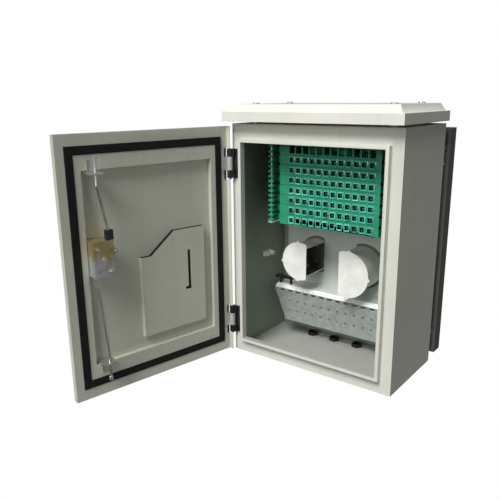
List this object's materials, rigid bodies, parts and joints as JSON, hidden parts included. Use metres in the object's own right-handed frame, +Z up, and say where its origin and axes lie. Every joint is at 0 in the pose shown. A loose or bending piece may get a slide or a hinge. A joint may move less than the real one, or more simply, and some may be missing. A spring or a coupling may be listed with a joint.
{
  "type": "fibre termination box",
  "caption": "Wall-mounted fibre termination box with a swing door, rod lock, swing-out splice trays, slack drums, cable glands and a rain hood.",
  "frame": {"origin": "centre of the four wall fixing slots, on the wall plane", "axes": "+X to the right seen from the door side, +Y into the wall, +Z up"},
  "size_m": [0.5751, 0.7486, 0.681],
  "materials": {
    "light_grey_paint": "satin",
    "hood_paint": "satin",
    "door_paint": "satin",
    "dark_steel": "satin",
    "zinc_steel": "satin",
    "galvanised": "matte",
    "black_casting": "satin",
    "grey_casting": "satin",
    "yellow_zinc": "satin",
    "teal_plastic": "matte",
    "green_plastic": "gloss",
    "white_plastic": "matte",
    "black_plastic": "matte",
    "rubber": "matte",
    "brass": "satin",
    "chrome": "gloss"
  },
  "bodies": {
    "enclosure": {"enclosure_shell": "light_grey_paint", "rain_hood": "hood_paint", "hood_spacers": "zinc_steel", "hood_bolts": "zinc_steel", "mount_rail_left": "dark_steel", "mount_rail_right": "dark_steel", "rail_spacers": "zinc_steel", "rail_bolts": "zinc_steel", "back_plate": "light_grey_paint", "back_plate_studs": "zinc_steel", "hinge_bodies": "black_casting", "hinge_pins": "zinc_steel", "earth_stud": "brass", "tray_frame": "light_grey_paint", "tray_pivot_rod": "zinc_steel", "slack_drum_left": "white_plastic", "slack_drum_right": "white_plastic", "drum_screws": "zinc_steel", "cable_bracket": "galvanised", "cable_bracket_screws": "zinc_steel", "strength_member_clamp": "black_plastic", "fibre_clips": "white_plastic", "gland_plate": "light_grey_paint", "gland_plate_screws": "zinc_steel", "gland_bodies": "black_plastic", "gland_nuts": "black_plastic", "gland_caps": "black_plastic", "gland_seals": "rubber"},
    "door": {"door_panel": "door_paint", "door_stiffener": "door_paint", "door_gasket": "rubber", "document_pocket": "door_paint", "hinge_leaves": "grey_casting", "lock_housing": "yellow_zinc", "lock_nuts": "zinc_steel", "rod_guides": "zinc_steel", "escutcheon": "black_plastic"},
    "lock_spindle": {"lock_pinion": "grey_casting", "handle_hub": "black_plastic", "handle_pin": "zinc_steel"},
    "handle": {"swing_handle": "black_plastic"},
    "key_plug": {"key_cylinder": "chrome"},
    "dust_cover": {"cylinder_cover": "black_plastic"},
    "upper_rod": {"rod_upper": "zinc_steel"},
    "lower_rod": {"rod_lower": "zinc_steel"},
    "tray_1": {"tray_1": "teal_plastic"},
    "tray_2": {"tray_2": "teal_plastic", "adapters_2": "green_plastic"},
    "tray_3": {"tray_3": "teal_plastic", "adapters_3": "green_plastic"},
    "tray_4": {"tray_4": "teal_plastic", "adapters_4": "green_plastic"},
    "tray_5": {"tray_5": "teal_plastic", "adapters_5": "green_plastic"},
    "tray_6": {"tray_6": "teal_plastic", "adapters_6": "green_plastic"},
    "tray_7": {"tray_7": "teal_plastic", "adapters_7": "green_plastic"},
    "tray_8": {"tray_8": "teal_plastic", "adapters_8": "green_plastic"}
  },
  "joints": [
    {"name": "door_swing", "type": "hinge", "parent": "enclosure", "child": "door", "pos_m": [-0.226, -0.31, 0], "axis": [0, 0, -1], "range_deg": [-101, 14]},
    {"name": "handle_turn", "type": "hinge", "parent": "door", "child": "lock_spindle", "pos_m": [-0.31642, -0.67037, 0.03], "axis": [-0.9816, 0.1908, 0], "range_deg": [-90, 0]},
    {"name": "handle_lift", "type": "hinge", "parent": "lock_spindle", "child": "handle", "pos_m": [-0.33507, -0.66674, 0.03], "axis": [0, 0, 1], "range_deg": [0, 25]},
    {"name": "key_turn", "type": "hinge", "parent": "handle", "child": "key_plug", "pos_m": [-0.31676, -0.57251, 0.03], "axis": [0.9816, -0.1908, 0], "range_deg": [0, 90]},
    {"name": "cover_swing", "type": "hinge", "parent": "handle", "child": "dust_cover", "pos_m": [-0.32657, -0.58893, 0.03], "axis": [0.9816, -0.1908, 0], "range_deg": [0, 120]},
    {"name": "upper_rod_slide", "type": "slide", "parent": "door", "child": "upper_rod", "axis": [0, 0, -1], "range_m": [-0.01885, 0]},
    {"name": "lower_rod_slide", "type": "slide", "parent": "door", "child": "lower_rod", "axis": [0, 0, 1], "range_m": [-0.01885, 0]},
    {"name": "tray_1_swing", "type": "hinge", "parent": "enclosure", "child": "tray_1", "pos_m": [-0.156, -0.228, 0.2355], "axis": [0, 0, -1], "range_deg": [0, 85]},
    {"name": "tray_2_swing", "type": "hinge", "parent": "enclosure", "child": "tray_2", "pos_m": [-0.156, -0.228, 0.2105], "axis": [0, 0, -1], "range_deg": [0, 85]},
    {"name": "tray_3_swing", "type": "hinge", "parent": "enclosure", "child": "tray_3", "pos_m": [-0.156, -0.228, 0.1855], "axis": [0, 0, -1], "range_deg": [0, 85]},
    {"name": "tray_4_swing", "type": "hinge", "parent": "enclosure", "child": "tray_4", "pos_m": [-0.156, -0.228, 0.1605], "axis": [0, 0, -1], "range_deg": [0, 85]},
    {"name": "tray_5_swing", "type": "hinge", "parent": "enclosure", "child": "tray_5", "pos_m": [-0.156, -0.228, 0.1355], "axis": [0, 0, -1], "range_deg": [0, 85]},
    {"name": "tray_6_swing", "type": "hinge", "parent": "enclosure", "child": "tray_6", "pos_m": [-0.156, -0.228, 0.1105], "axis": [0, 0, -1], "range_deg": [0, 85]},
    {"name": "tray_7_swing", "type": "hinge", "parent": "enclosure", "child": "tray_7", "pos_m": [-0.156, -0.228, 0.0855], "axis": [0, 0, -1], "range_deg": [0, 85]},
    {"name": "tray_8_swing", "type": "hinge", "parent": "enclosure", "child": "tray_8", "pos_m": [-0.156, -0.228, 0.0605], "axis": [0, 0, -1], "range_deg": [0, 85]}
  ],
  "couplings": [
    {"joint": "upper_rod_slide", "follows": "handle_turn", "m_per_rad": 0.012},
    {"joint": "lower_rod_slide", "follows": "handle_turn", "m_per_rad": 0.012}
  ]
}
